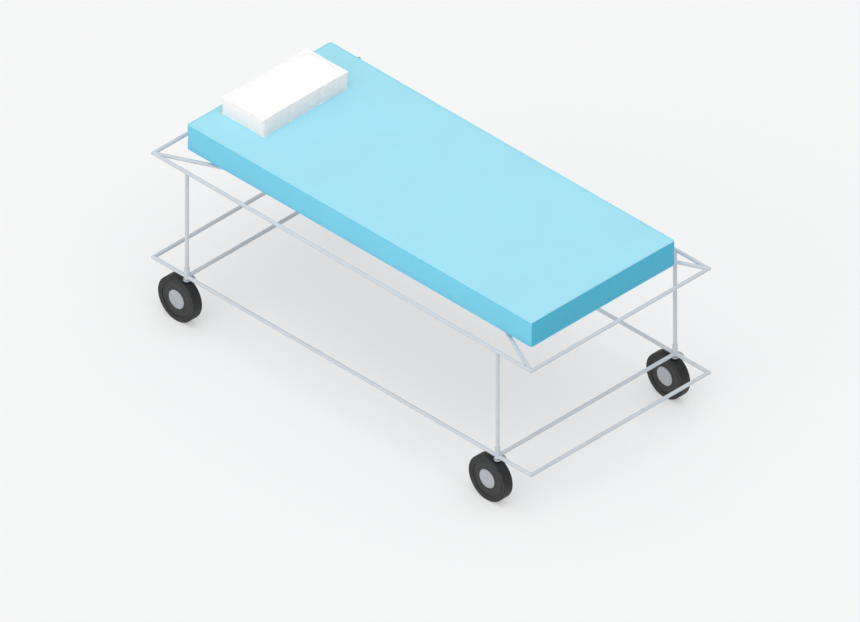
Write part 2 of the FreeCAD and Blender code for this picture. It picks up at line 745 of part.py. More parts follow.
def castor_brake_pedal():
    """The rocker: a nose that swings in to the wheel, and a pedal that stands up outside the arm."""
    half = V(BRAKE_WIDTH / 2, 0, 0)
    hub = cylinder(BRAKE_PIVOT - half, BRAKE_PIVOT + half, BRAKE_HUB_R)
    nose = arm_bar(180 + BRAKE_TRAVEL, BRAKE_NOSE - BRAKE_NOSE_SHEET / 2, BRAKE_NOSE_SHEET, BRAKE_WIDTH)
    stalk = arm_bar(PEDAL_REST_ANGLE, PEDAL_LENGTH - PEDAL_SHEET / 2, PEDAL_SHEET, BRAKE_WIDTH)
    pad_end = PEDAL_LENGTH - PEDAL_SHEET / 2
    pad = arm_bar(PEDAL_REST_ANGLE, pad_end, PEDAL_SHEET, PEDAL_WIDTH, start=PEDAL_PAD_START)
    hole = cylinder(BRAKE_PIVOT - half * 2, BRAKE_PIVOT + half * 2, BRAKE_PIN_R + RUNNING_GAP)
    return hub.fuse([nose, stalk, pad]).cut(hole).removeSplitter()


def arm_bar(angle, length, sheet, width, start=0.0):
    """A flat bar with a round end, from the brake's pivot outwards at an angle above +Y."""
    out = V(0, math.cos(math.radians(angle)), math.sin(math.radians(angle)))
    side = V(0, -out.z, out.y) * (sheet / 2)
    low = BRAKE_PIVOT - V(width / 2, 0, 0) + out * start
    high = BRAKE_PIVOT - V(width / 2, 0, 0) + out * length
    bar = prism([low - side, high - side, high + side, low + side], V(width, 0, 0))
    return bar.fuse(cylinder(high, high + V(width, 0, 0), sheet / 2)).removeSplitter()


def castors():
    """Four castors, all pointing the same way, as they stand after the trolley has been pushed along."""
    makers = {
        "fork": castor_fork,
        "stem": castor_stem,
        "axle_set": castor_axle_set,
        "rim": castor_rim,
        "tyre": castor_tyre,
        "bearings": castor_bearings,
        "hub_cap": castor_hub_cap,
        "brake_pedal": castor_brake_pedal,
    }
    parts = {}
    for piece, make in makers.items():
        shape = make()
        for corner, at in CORNERS.items():
            parts["castor_" + corner + "_" + piece] = moved(shape, at)
    return parts


def main():
    parts = {}
    parts.update(upper_frame())
    parts.update(legs())
    parts.update(lower_frame())
    parts["castor_sockets"] = castor_sockets()
    parts["swivel_bushes"] = swivel_bushes()
    parts["drip_pole_socket"] = drip_pole_socket()
    parts["drip_pole_liner"] = drip_pole_liner()
    parts.update(platform_parts())
    parts.update(soft_parts())
    parts.update(castors())
    os.makedirs("parts", exist_ok=True)
    for name, shape in sorted(parts.items()):
        good = shape.isValid() and shape.Solids and all(s.Volume > 0 for s in shape.Solids)
        if not good:
            print("BAD SHAPE:", name, len(shape.Solids), shape.Volume)
        shape.exportStep(os.path.join("parts", name + ".step"))
    print(len(parts), "nodes written")


main()
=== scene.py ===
"""The looks of the stretcher trolley: its mattress and pillow, its welds and the finish of every CAD part.

Everything is in metres in the CAD's own frame: +X to the foot end, +Y to the patient's left, +Z up. Places
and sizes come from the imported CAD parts. The soft parts are grids of cloth panels, which a short cloth
simulation swells.
"""

import bpy
import math
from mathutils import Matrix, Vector
from mathutils.bvhtree import BVHTree


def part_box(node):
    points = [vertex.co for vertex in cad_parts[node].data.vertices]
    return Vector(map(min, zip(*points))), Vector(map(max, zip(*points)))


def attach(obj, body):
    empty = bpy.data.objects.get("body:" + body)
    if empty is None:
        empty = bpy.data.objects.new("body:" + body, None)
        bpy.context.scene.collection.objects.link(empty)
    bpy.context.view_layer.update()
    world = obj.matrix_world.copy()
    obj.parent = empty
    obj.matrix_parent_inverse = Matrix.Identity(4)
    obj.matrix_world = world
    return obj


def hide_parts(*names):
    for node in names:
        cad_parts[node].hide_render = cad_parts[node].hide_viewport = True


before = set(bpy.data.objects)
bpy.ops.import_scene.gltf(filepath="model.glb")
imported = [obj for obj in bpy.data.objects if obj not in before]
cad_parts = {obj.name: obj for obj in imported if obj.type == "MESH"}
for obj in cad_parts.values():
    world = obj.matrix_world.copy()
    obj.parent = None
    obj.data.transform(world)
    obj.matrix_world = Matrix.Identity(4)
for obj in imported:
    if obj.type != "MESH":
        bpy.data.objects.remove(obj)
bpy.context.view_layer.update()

CORNERS = ("head_right", "head_left", "foot_right", "foot_left")
UP = Vector((0, 0, 1))


# ================================================================ small helpers

def srgb(red, green, blue):
    """A colour given as 0 to 255 on a screen, as the linear values that a shader takes."""
    def linear(value):
        value /= 255
        return value / 12.92 if value <= 0.04045 else ((value + 0.055) / 1.055) ** 2.4
    return (linear(red), linear(green), linear(blue), 1.0)


def toned(colour, factor, lift=0.0):
    """A colour with its brightness changed by a factor and then lifted by an amount."""
    return tuple(min(1.0, c * factor + lift) for c in colour[:3]) + (1.0,)


def middle(node):
    """The middle of a CAD node's box."""
    low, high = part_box(node)
    return (low + high) / 2


def make_object(name, vertices, faces, material, smooth=True):
    """A mesh object in the scene."""
    mesh = bpy.data.meshes.new(name)
    mesh.from_pydata([tuple(v) for v in vertices], [], faces)
    mesh.validate()
    mesh.update()
    mesh.materials.append(material)
    if smooth:
        mesh.polygons.foreach_set("use_smooth", [True] * len(mesh.polygons))
    piece = bpy.data.objects.new(name, mesh)
    bpy.context.scene.collection.objects.link(piece)
    return piece


# ================================================================ camera, light and floor

VIEW_TURN = math.radians(45)
VIEW_RISE = math.atan(1 / math.sqrt(2))
VIEW_WIDTH = 3.357
VIEW_DISTANCE = 12
AIM_ACROSS = -0.0039  # from the middle of the upper rails, across the view and up it
AIM_UPWARD = -0.3904

FLOOR_REACH = 80
FLOOR_GLOW = 0.37
FLOOR_TONE = 0.514
PALE = 0.926  # the brightness of the sky below the horizon, at the horizon and overhead
HORIZON = 0.32
ZENITH = 1.03
SKY_TINT = (0.97, 0.985, 1.0)


def isometric_camera():
    """A true isometric view on to the foot end and the patient's right side."""
    across = Vector((math.cos(VIEW_TURN), math.sin(VIEW_TURN), 0))
    back = Vector((math.sin(VIEW_TURN) * math.cos(VIEW_RISE), -math.cos(VIEW_TURN) * math.cos(VIEW_RISE),
                   math.sin(VIEW_RISE)))
    upward = back.cross(across)
    aim = UP * middle("upper_rail_right").z + across * AIM_ACROSS + upward * AIM_UPWARD
    data = bpy.data.cameras.new("camera")
    data.type = "ORTHO"
    data.ortho_scale = VIEW_WIDTH
    camera = bpy.data.objects.new("camera", data)
    camera.location = aim + back * VIEW_DISTANCE
    camera.rotation_mode = "QUATERNION"
    camera.rotation_quaternion = (-back).to_track_quat("-Z", "Y")
    bpy.context.scene.collection.objects.link(camera)
    bpy.context.scene.camera = camera


def daylight():
    """Soft light from over the foot end's right corner, and more from low on the patient's right side."""
    bpy.context.scene.view_settings.view_transform = "Standard"
    sky()
    soft_sun("overhead", toward=(0.36, -0.24, 1.0), strength=0.82, spread=52, colour=(1.0, 0.99, 0.97))
    soft_sun("side_fill", toward=(-0.1, -1.0, 0.28), strength=0.8, spread=50, colour=(1.0, 0.97, 0.94))


def sky():
    """A pale sky, brightest overhead. Below the horizon it is as pale as the floor that hides it."""
    world = bpy.data.worlds.new("sky")
    world.use_nodes = True
    nodes, links = world.node_tree.nodes, world.node_tree.links
    split = nodes.new("ShaderNodeSeparateXYZ")
    links.new(nodes.new("ShaderNodeTexCoord").outputs["Generated"], split.inputs["Vector"])
    height = nodes.new("ShaderNodeMapRange")
    height.inputs["From Min"].default_value = -1
    links.new(split.outputs["Z"], height.inputs["Value"])
    ramp = nodes.new("ShaderNodeValToRGB")
    links.new(height.outputs["Result"], ramp.inputs["Fac"])
    halfway, just_above = 0.5, 0.5001
    stops = ramp.color_ramp.elements
    stops[0].position = halfway
    stops[0].color = (PALE / ZENITH, PALE / ZENITH, PALE / ZENITH, 1)
    stops[1].color = SKY_TINT + (1.0,)
    horizon = stops.new(just_above)
    horizon.color = tuple(c * HORIZON / ZENITH for c in SKY_TINT) + (1.0,)
    background = nodes["Background"]
    links.new(ramp.outputs["Color"], background.inputs["Color"])
    background.inputs["Strength"].default_value = ZENITH
    bpy.context.scene.world = world


def soft_sun(name, toward, strength, spread, colour):
    """A distant light as wide as that many degrees of sky, so that its shadows are soft."""
    data = bpy.data.lights.new(name, "SUN")
    data.energy = strength
    data.angle = math.radians(spread)
    data.color = colour
    light = bpy.data.objects.new(name, data)
    light.rotation_mode = "QUATERNION"
    light.rotation_quaternion = Vector(toward).to_track_quat("Z", "Y")
    bpy.context.scene.collection.objects.link(light)


def floor():
    """A wide pale floor, slightly uneven in its gloss. It glows a little, as a lit studio table does."""
    graph = Graph("floor_paint")
    graph.shader.inputs["Base Color"].default_value = (FLOOR_TONE, FLOOR_TONE, FLOOR_TONE, 1)
    graph.shader.inputs["Emission Color"].default_value = (1, 1, 1, 1)
    graph.shader.inputs["Emission Strength"].default_value = FLOOR_GLOW
    graph.feed("Roughness", graph.between(graph.noise(3.0, 3), 0.75, 0.95))
    graph.shader.inputs["Specular IOR Level"].default_value = 0.1
    r = FLOOR_REACH
    corners = [(-r, -r, 0), (r, -r, 0), (r, r, 0), (-r, r, 0)]
    make_object("floor", corners, [(0, 1, 2, 3)], graph.material, smooth=False)


# ================================================================ materials

WAVE_PERIOD = math.pi / 10  # what a wave node's bands are apart at a scale of 1


class Graph:
    """One material's nodes. Patterns lie in object coordinates, which are metres in the CAD's frame."""

    def __init__(self, name):
        self.material = bpy.data.materials.new(name)
        self.material.use_nodes = True
        self.nodes = self.material.node_tree.nodes
        self.links = self.material.node_tree.links
        self.shader = self.nodes["Principled BSDF"]
        self.place = self.add("ShaderNodeTexCoord").outputs["Object"]

    def add(self, kind, inputs=None, **settings):
        """A node, with its settings and with numbers or other nodes' outputs in its inputs."""
        node = self.nodes.new(kind)
        for key, value in settings.items():
            setattr(node, key, value)
        for key, value in (inputs or {}).items():
            self.put(node.inputs[key], value)
        return node

    def put(self, socket, value):
        """Puts a number or another node's output into a socket."""
        if isinstance(value, bpy.types.NodeSocket):
            self.links.new(value, socket)
        else:
            socket.default_value = value

    def feed(self, name, value):
        """Puts a value into one of the shader's own inputs."""
        self.put(self.shader.inputs[name], value)

    def stretched(self, scale, offset=(0, 0, 0)):
        """The place, moved and then scaled along each axis."""
        node = self.add("ShaderNodeMapping", {"Vector": self.place, "Scale": scale, "Location": offset})
        return node.outputs["Vector"]

    def noise(self, scale, detail=2.0, rough=0.5, place=None):
        """Cloudy noise with about that many bumps to the metre."""
        inputs = {"Vector": place or self.place, "Scale": scale, "Detail": detail, "Roughness": rough}
        return self.add("ShaderNodeTexNoise", inputs).outputs["Fac"]

    def between(self, value, low, high, start=0.3, end=0.7):
        """A value between start and end, mapped to between low and high and held there outside them."""
        inputs = {"Value": value, "From Min": start, "From Max": end, "To Min": low, "To Max": high}
        return self.add("ShaderNodeMapRange", inputs).outputs["Result"]

    def sums(self, operation, first, second):
        """One step of arithmetic."""
        return self.add("ShaderNodeMath", {0: first, 1: second}, operation=operation).outputs[0]

    def mixed(self, share, first, second):
        """One colour at share 0, the other at share 1.

        The node has sockets of the same names for numbers and for colours, so the colours' are numbered.
        """
        node = self.add("ShaderNodeMix", data_type="RGBA")
        self.put(node.inputs["Factor"], share)
        self.put(node.inputs[6], first)
        self.put(node.inputs[7], second)
        return node.outputs[2]

    def bump(self, height, distance, strength=1.0, over=None):
        """Relief of that height in metres, on top of another relief if one is given."""
        inputs = {"Height": height, "Distance": distance, "Strength": strength}
        if over:
            inputs["Normal"] = over
        return self.add("ShaderNodeBump", inputs).outputs["Normal"]

    def weave(self, pitch):
        """The relief of a plain weave with threads that far apart, which shows from all six sides."""
        waves = []
        for axis in ("X", "Y", "Z"):
            inputs = {"Vector": self.place, "Scale": WAVE_PERIOD / (2 * pitch)}
            node = self.add("ShaderNodeTexWave", inputs, wave_type="BANDS", bands_direction=axis)
            waves.append(self.sums("SUBTRACT", node.outputs["Fac"], 0.5))
        crossed = [self.sums("MULTIPLY", waves[a], waves[b]) for a, b in ((0, 1), (1, 2), (2, 0))]
        return self.sums("ADD", self.sums("ADD", crossed[0], crossed[1]), crossed[2])


def worn_paint(name, colour, rough=(0.34, 0.5), chips=0.43):
    """Powder coat on steel: faint mottling, orange peel, dull rubbed patches and a few small chips.

    A higher value for chips leaves fewer of them.
    """
    graph = Graph(name)
    mottle = graph.between(graph.noise(9, 3), 0.0, 0.5)
    coat = graph.mixed(mottle, colour, toned(colour, 0.88))
    grain = graph.noise(260, 4, 0.62)
    patches = graph.noise(14, 2)
    chip = graph.between(graph.sums("MULTIPLY", grain, patches), 0.0, 1.0, chips, chips + 0.02)
    graph.feed("Base Color", graph.mixed(chip, coat, srgb(138, 142, 148)))
    graph.feed("Metallic", graph.between(chip, 0.0, 0.8, 0.0, 1.0))
    rubbed = graph.between(graph.noise(22, 5, 0.65), rough[0], rough[1])
    graph.feed("Roughness", rubbed)
    peel = graph.bump(graph.noise(650, 2), 0.00012, 0.5)
    graph.feed("Normal", graph.bump(chip, -0.00025, 0.7, over=peel))
    graph.shader.inputs["Coat Weight"].default_value = 0.15
    graph.shader.inputs["Coat Roughness"].default_value = 0.25
    return graph.material


def bright_steel(name):
    """Zinc-plated steel with fine turning marks and dull spots."""
    graph = Graph(name)
    spots = graph.noise(180, 4, 0.6)
    dull = graph.between(spots, 0, 1)
    graph.feed("Base Color", graph.mixed(dull, srgb(186, 190, 194), srgb(150, 154, 160)))
    graph.shader.inputs["Metallic"].default_value = 0.9
    graph.feed("Roughness", graph.between(graph.noise(90, 5), 0.26, 0.46))
    lines = graph.noise(40, 2, 0.5, graph.stretched((1, 60, 1)))
    graph.feed("Normal", graph.bump(lines, 0.00008, 0.6))
    return graph.material


def moulded(name, colour, rough):
    """Moulded plastic: fine spark texture, faint flow marks and dust."""
    graph = Graph(name)
    cloud = graph.between(graph.noise(30, 4), 0, 1)
    graph.feed("Base Color", graph.mixed(cloud, colour, toned(colour, 1.18, 0.004)))
    graph.feed("Roughness", graph.between(graph.noise(45, 5, 0.6), rough - 0.07, rough + 0.09))
    graph.feed("Normal", graph.bump(graph.noise(1400, 2), 0.00015, 0.5))
    return graph.material


def tyre_rubber(name):
    """Dark grey rubber with a finely pitted face, a tread that is rubbed smoother and painted darker as
    painted shade, and patches of dust.

    The wheel's box is mapped to run from -1 to 1 both ways, so a place's length in it is 1 at the tread.
    """
    graph = Graph(name)
    box = graph.add("ShaderNodeTexCoord").outputs["Generated"]
    flat = graph.add("ShaderNodeMapping", {"Vector": box, "Location": (-1, 0, -1), "Scale": (2, 0, 2)})
    radius = graph.add("ShaderNodeVectorMath", {0: flat.outputs["Vector"]}, operation="LENGTH")
    tread = graph.between(radius.outputs["Value"], 0, 1, 0.975, 0.992)
    dust = graph.between(graph.noise(26, 6, 0.7), 0, 1, 0.42, 0.75)
    face = graph.mixed(dust, srgb(49, 49, 50), srgb(62, 62, 62))
    # Painted shade: the tread's colours are darker than the face's, to stand in for the shade on the
    # tread.
    run = graph.mixed(dust, srgb(37, 37, 38), srgb(48, 47, 47))
    graph.feed("Base Color", graph.mixed(tread, face, run))
    smooth = graph.between(graph.noise(60, 4), 0.5, 0.62)
    pitted = graph.between(graph.noise(60, 4), 0.66, 0.84)
    rubbed = graph.sums("MULTIPLY", tread, graph.sums("SUBTRACT", smooth, pitted))
    graph.feed("Roughness", graph.sums("ADD", rubbed, pitted))
    graph.shader.inputs["Specular IOR Level"].default_value = 0.3
    pores = graph.bump(graph.noise(900, 3, 0.6), 0.0002, 0.5)
    graph.feed("Normal", graph.bump(graph.noise(70, 3), 0.0005, 0.35, over=pores))
    return graph.material


def coated_fabric(name, colour):
    """A wipe-clean coated cloth: a fine woven grain, slow changes of tone and soft rub marks."""
    graph = Graph(name)
    tone = graph.mixed(graph.between(graph.noise(4.5, 4, 0.55), 0, 1), colour, toned(colour, 0.955))
    weave = graph.weave(0.0016)
    yarn = toned(colour, 0.9)
    graph.feed("Base Color", graph.mixed(graph.between(weave, 0, 0.8, 0.05, 0.24), tone, yarn))
    graph.feed("Roughness", graph.between(graph.noise(35, 5, 0.6), 0.5, 0.68))
    graph.shader.inputs["Specular IOR Level"].default_value = 0.2
    graph.shader.inputs["Sheen Weight"].default_value = 0.05
    graph.shader.inputs["Sheen Roughness"].default_value = 0.5
    grain = graph.bump(weave, 0.0006, 0.5)
    graph.feed("Normal", graph.bump(graph.noise(120, 4, 0.6), 0.0004, 0.35, over=grain))
    return graph.material


def cotton(name, colour):
    """White percale with a visible weave and soft, slightly creased patches."""
    graph = Graph(name)
    white = graph.mixed(graph.between(graph.noise(18, 4), 0, 1), colour, toned(colour, 0.982))
    weave = graph.weave(0.0011)
    yarn = toned(colour, 0.935)
    graph.feed("Base Color", graph.mixed(graph.between(weave, 0, 0.7, 0.05, 0.24), white, yarn))
    graph.feed("Roughness", graph.between(graph.noise(50, 4), 0.78, 0.94))
    graph.shader.inputs["Specular IOR Level"].default_value = 0.15
    graph.shader.inputs["Sheen Weight"].default_value = 0.1
    graph.shader.inputs["Sheen Roughness"].default_value = 0.4
    threads = graph.bump(weave, 0.0005, 0.5)
    graph.feed("Normal", graph.bump(graph.noise(55, 4, 0.55), 0.0014, 0.4, over=threads))
    return graph.material


def thread(name, colour):
    """Sewing thread: twisted strands."""
    graph = Graph(name)
    twist = graph.weave(0.0005)
    graph.feed("Base Color", graph.mixed(graph.between(twist, 0, 1, 0, 0.2), colour, toned(colour, 0.8)))
    graph.shader.inputs["Roughness"].default_value = 0.7
    graph.feed("Normal", graph.bump(twist, 0.0003, 0.5))
    return graph.material


def laminate(name):
    """A grey laminated board with a fine leather-like surface."""
    graph = Graph(name)
    fleck = graph.between(graph.noise(300, 3), 0, 1, 0.4, 0.7)
    graph.feed("Base Color", graph.mixed(fleck, srgb(203, 206, 210), srgb(190, 194, 199)))
    graph.feed("Roughness", graph.between(graph.noise(20, 5), 0.4, 0.6))
    graph.feed("Normal", graph.bump(graph.noise(500, 3), 0.0002, 0.4))
    return graph.material


def grip_pile(name):
    """Dark hook-and-loop tape."""
    graph = Graph(name)
    graph.feed("Base Color", graph.mixed(graph.noise(700, 2), srgb(44, 46, 50), srgb(70, 73, 78)))
    graph.shader.inputs["Roughness"].default_value = 0.95
    graph.feed("Normal", graph.bump(graph.noise(1200, 2), 0.0008, 0.8))
    return graph.material


# ================================================================ soft parts

SEAM_CREASE = 0.45


class Block:
    """A closed box of cloth panels on a grid: a top, a bottom and a band round the side.

    Its corners are rounded in plan, and its sides are pulled in by that much between them.
    """

    def __init__(self, low, high, cell, corner, pull):
        self.low, self.high, self.corner, self.pull = low, high, corner, pull
        self.centre = (low + high) / 2
        self.half = (high - low) / 2
        self.counts = [max(2, round(2 * h / cell)) for h in self.half]
        self.index, self.vertices, self.faces = {}, [], []
        self.make_faces()

    def make_faces(self):
        """Quads over all six sides, all facing outward."""
        nx, ny, nz = self.counts
        for i in range(nx):
            for j in range(ny):
                self.quad((i, j, 0), (i, j + 1, 0), (i + 1, j + 1, 0), (i + 1, j, 0))
                self.quad((i, j, nz), (i + 1, j, nz), (i + 1, j + 1, nz), (i, j + 1, nz))
        for k in range(nz):
            for i in range(nx):
                self.quad((i, 0, k), (i + 1, 0, k), (i + 1, 0, k + 1), (i, 0, k + 1))
                self.quad((i, ny, k), (i, ny, k + 1), (i + 1, ny, k + 1), (i + 1, ny, k))
            for j in range(ny):
                self.quad((0, j, k), (0, j, k + 1), (0, j + 1, k + 1), (0, j + 1, k))
                self.quad((nx, j, k), (nx, j + 1, k), (nx, j + 1, k + 1), (nx, j, k + 1))

    def quad(self, *cells):
        """A face between four grid points."""
        self.faces.append([self.vertex(c) for c in cells])

    def vertex(self, cell):
        """The number of the vertex at a grid point, which is made on first use."""
        if cell not in self.index:
            self.index[cell] = len(self.vertices)
            self.vertices.append(self.place(cell))
        return self.index[cell]

    def place(self, cell):
        """Where a grid point lies, with the plan's corners rounded and its sides pulled in.

        The seventh power keeps the pull near the sides, and the fourth fades it out towards the corners.
        """
        share = [2 * c / n - 1 for c, n in zip(cell, self.counts)]
        x, y = self.round_corner(share[0] * self.half.x, share[1] * self.half.y)
        x -= self.pull * share[0] ** 7 * (1 - share[1] ** 4)
        y -= self.pull * share[1] ** 7 * (1 - share[0] ** 4)
        return self.centre + Vector((x, y, share[2] * self.half.z))

    def round_corner(self, x, y):
        """Turns the square at each corner of the plan into a quarter of a disc."""
        start_x, start_y = self.half.x - self.corner, self.half.y - self.corner
        over_x, over_y = abs(x) - start_x, abs(y) - start_y
        if over_x <= 0 or over_y <= 0:
            return x, y
        u, v = over_x / self.corner, over_y / self.corner
        x = math.copysign(start_x + self.corner * u * math.sqrt(1 - v * v / 2), x)
        y = math.copysign(start_y + self.corner * v * math.sqrt(1 - u * u / 2), y)
        return x, y

    def seam(self, level):
        """The grid points round the edge of the bottom (level 0) or the top (level 1), in order."""
        nx, ny, nz = self.counts
        k = nz * level
        ring = [(i, 0, k) for i in range(nx)] + [(nx, j, k) for j in range(ny)]
        ring += [(i, ny, k) for i in range(nx, 0, -1)] + [(0, j, k) for j in range(ny, 0, -1)]
        return [self.index[c] for c in ring]

    def upright_seams(self):
        """The grid points up each of the four corners."""
        nx, ny, nz = self.counts
        return [[self.index[(i, j, k)] for k in range(nz + 1)] for i in (0, nx) for j in (0, ny)]


def swell(piece, held, pressure, slack, bending, frames=20):
    """Where a piece's vertices go when cloth pressure puffs its panels out between the held ones."""
    group = piece.vertex_groups.new(name="held")
    group.add(held, 1.0, "REPLACE")
    cloth = piece.modifiers.new("cloth", "CLOTH")
    settings = cloth.settings
    settings.quality = 6
    settings.mass = 0.35
    settings.tension_stiffness = 18
    settings.compression_stiffness = 18
    settings.shear_stiffness = 6
    settings.bending_stiffness = bending
    settings.air_damping = 2.0
    settings.shrink_min = -slack
    settings.use_pressure = True
    settings.uniform_pressure_force = pressure
    settings.vertex_group_mass = "held"
    settings.effector_weights.gravity = 0
    cloth.collision_settings.use_collision = False
    cloth.point_cache.frame_start = 1
    cloth.point_cache.frame_end = frames
    scene = bpy.context.scene
    for number in range(1, frames + 1):
        scene.frame_set(number)
    places = evaluated_places(piece)
    piece.modifiers.remove(cloth)
    piece.vertex_groups.clear()
    scene.frame_set(1)
    return places


def evaluated_places(piece):
    """Where a piece's vertices are after its modifiers. Subdividing keeps the old vertices' numbers."""
    mesh = piece.evaluated_get(bpy.context.evaluated_depsgraph_get()).to_mesh()
    return [v.co.copy() for v in mesh.vertices]


def limited(move, cap):
    """A move held under a cap, with a soft knee."""
    length = move.length
    return move * (cap * math.tanh(length / cap) / length) if length > 1e-9 else move


class Cushion:
    """A block of cloth panels over one soft CAD part, its seams, and the surface for sewn details."""

    def __init__(self, name, node, material, cell, corner, pull, sink):
        """Cell is the grid's step, and sink is how far the top seam lies below the top of the CAD part."""
        low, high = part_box(node)
        self.floor = low.z
        self.block = Block(low, high - UP * sink, cell, corner, pull)
        self.piece = make_object(name, self.block.vertices, self.block.faces, material)
        self.seams = [self.block.seam(0), self.block.seam(1)]
        self.crease_seams(SEAM_CREASE)

    def crease_seams(self, amount):
        """Keeps the cloth's folds at its seams tight when it is subdivided."""
        lines = [seam + seam[:1] for seam in self.seams] + self.block.upright_seams()
        sewn = {frozenset(pair) for line in lines for pair in zip(line, line[1:])}
        mesh = self.piece.data
        crease = mesh.attributes.new("crease_edge", "FLOAT", "EDGE")
        for edge in mesh.edges:
            crease.data[edge.index].value = amount if frozenset(edge.vertices) in sewn else 0.0

    def fill(self, pressure, slack, bending, side_cap, top_cap):
        """Swells the panels between the seams, never under the surface that the cushion lies on.
        """
        held = [vertex for seam in self.seams for vertex in seam]
        places = swell(self.piece, held, pressure, slack, bending)
        for vertex in self.piece.data.vertices:
            move = places[vertex.index] - vertex.co
            rise = limited(UP * move.z, top_cap)
            vertex.co += limited(move - UP * move.z, side_cap) + rise
            vertex.co.z = max(vertex.co.z, self.floor)

    def smooth(self, levels):
        """Subdivides the cloth, then notes the seams' places and the surface."""
        smoother = self.piece.modifiers.new("smooth", "SUBSURF")
        smoother.levels = smoother.render_levels = levels
        self.places = evaluated_places(self.piece)
        self.surface = BVHTree.FromObject(self.piece, bpy.context.evaluated_depsgraph_get())

    def line(self, vertices):
        """Where those vertices are."""
        return [self.places[v] for v in vertices]

    def beside(self, seam, gap, on_top):
        """A line of (place, outward direction) beside a seam, on the flat panel or on the band."""
        points = self.line(seam)
        rise = 1 if points[0].z > self.block.centre.z else -1
        away = gap if on_top else -gap
        line = []
        for k, point in enumerate(points):
            along = (points[(k + 1) % len(points)] - points[k - 1]).normalized()
            inward = UP.cross(along)
            place, normal = self.surface.find_nearest(point + (inward + UP * rise) * away)[:2]
            line.append((place, normal))
        return line

    def dress(self, suffix, shapes, material, slot):
        """Adds a detail that moves with the cushion."""
        detail = make_object(self.piece.name.split("_")[0] + "_" + suffix, *joined(shapes), material)
        detail.parent = self.piece


# ---------------------------------------------------------------- sewn details

STITCH_RINGS = (-0.6, 0.0, 0.6)  # as shares of a stitch's reach each way
STITCH_TAPER = 0.35


def swept(points, radius, closed=True, sides=8, ripple=0.0, pitch=0.003):
    """A tube along a line of points, as (vertices, faces). Its radius swells and sinks by the ripple."""
    centre = sum(points, Vector()) / len(points)
    vertices, faces, run = [], [], 0.0
    count = len(points)
    for k, point in enumerate(points):
        ahead = points[(k + 1) % count] if closed else points[min(k + 1, count - 1)]
        behind = points[k - 1] if closed else points[max(k - 1, 0)]
        along = (ahead - behind).normalized()
        out = point - centre if closed else along.orthogonal()
        out = (out - along * out.dot(along)).normalized()
        side = along.cross(out)
        size = radius * (1 + ripple * (abs(math.sin(math.pi * run / pitch)) - 0.5))
        run += (ahead - point).length
        for s in range(sides):
            turn = 2 * math.pi * s / sides
            vertices.append(point + (out * math.cos(turn) + side * math.sin(turn)) * size)
    for k in range(count if closed else count - 1):
        for s in range(sides):
            here, after = k * sides, (k + 1) % count * sides
            faces.append((here + s, after + s, after + (s + 1) % sides, here + (s + 1) % sides))
    if not closed:
        faces.append(tuple(range(sides)))
        faces.append(tuple(reversed(range((count - 1) * sides, count * sides))))
    return vertices, faces


def resampled(line, step, closed=True):
    """A line of (place, normal) as evenly spaced ones."""
    ends = zip(line, line[1:] + line[:1]) if closed else zip(line, line[1:])
    even, left = [], 0.0
    for (start, normal), (end, end_normal) in ends:
        length = (end - start).length
        while left < length:
            share = left / length
            even.append((start.lerp(end, share), normal.lerp(end_normal, share).normalized()))
            left += step
        left -= length
    return even


def stitches(line, pitch, length, radius, closed=True):
    """A row of stitches along a line on the cloth, each a bulge of thread that dives in at both ends."""
    shapes = []
    even = resampled(line, pitch, closed)
    for (place, normal), (after, _) in zip(even, even[1:]):
        along = (after - place).normalized()
        shapes.append(stitch(place, along, normal, length / 2, radius))
    return shapes


def stitch(place, along, normal, reach, radius, sides=6):
    """One stitch: a spindle with a pointed end each way."""
    side = along.cross(normal).normalized()
    vertices = [place - along * reach - normal * radius]
    for step in STITCH_RINGS:
        size = radius * (1 - STITCH_TAPER * abs(step))
        for s in range(sides):
            turn = 2 * math.pi * s / sides
            spoke = (normal * math.sin(turn) + side * math.cos(turn)) * size
            vertices.append(place + along * reach * step + spoke)
    vertices.append(place + along * reach - normal * radius)
    last = len(vertices) - 1
    faces = [(0, 1 + (s + 1) % sides, 1 + s) for s in range(sides)]
    faces += ring_faces(1, len(STITCH_RINGS), sides)
    start = last - sides
    faces += [(last, start + s, start + (s + 1) % sides) for s in range(sides)]
    return vertices, faces


def ring_faces(first, rings, count):
    """The faces between rings of vertices that lie one after another from the first vertex on."""
    faces = []
    for ring in range(rings - 1):
        for s in range(count):
            here, after = first + ring * count, first + (ring + 1) * count
            faces.append((here + s, here + (s + 1) % count, after + (s + 1) % count, after + s))
    return faces


def joined(shapes):
    """Several (vertices, faces) as one."""
    vertices, faces = [], []
    for more_vertices, more_faces in shapes:
        start = len(vertices)
        vertices += more_vertices
        faces += [tuple(start + i for i in face) for face in more_faces]
    return vertices, faces


# ---------------------------------------------------------------- the mattress and the pillow

CLOTH_STITCH = {"pitch": 0.0075, "length": 0.0055, "radius": 0.0005}
TAPE_STITCH = {"pitch": 0.0055, "length": 0.004, "radius": 0.0004}
COTTON_STITCH = {"pitch": 0.005, "length": 0.0036, "radius": 0.0004}
COTTON_THREAD = srgb(244, 242, 240)
WELT_R = 0.0024
CORNER_SEAM_R = 0.0016
PILLOW_SEAM_R = 0.0015
MATTRESS_STITCHES_FROM_SEAM = 0.006
PILLOW_STITCHES_FROM_SEAM = 0.005

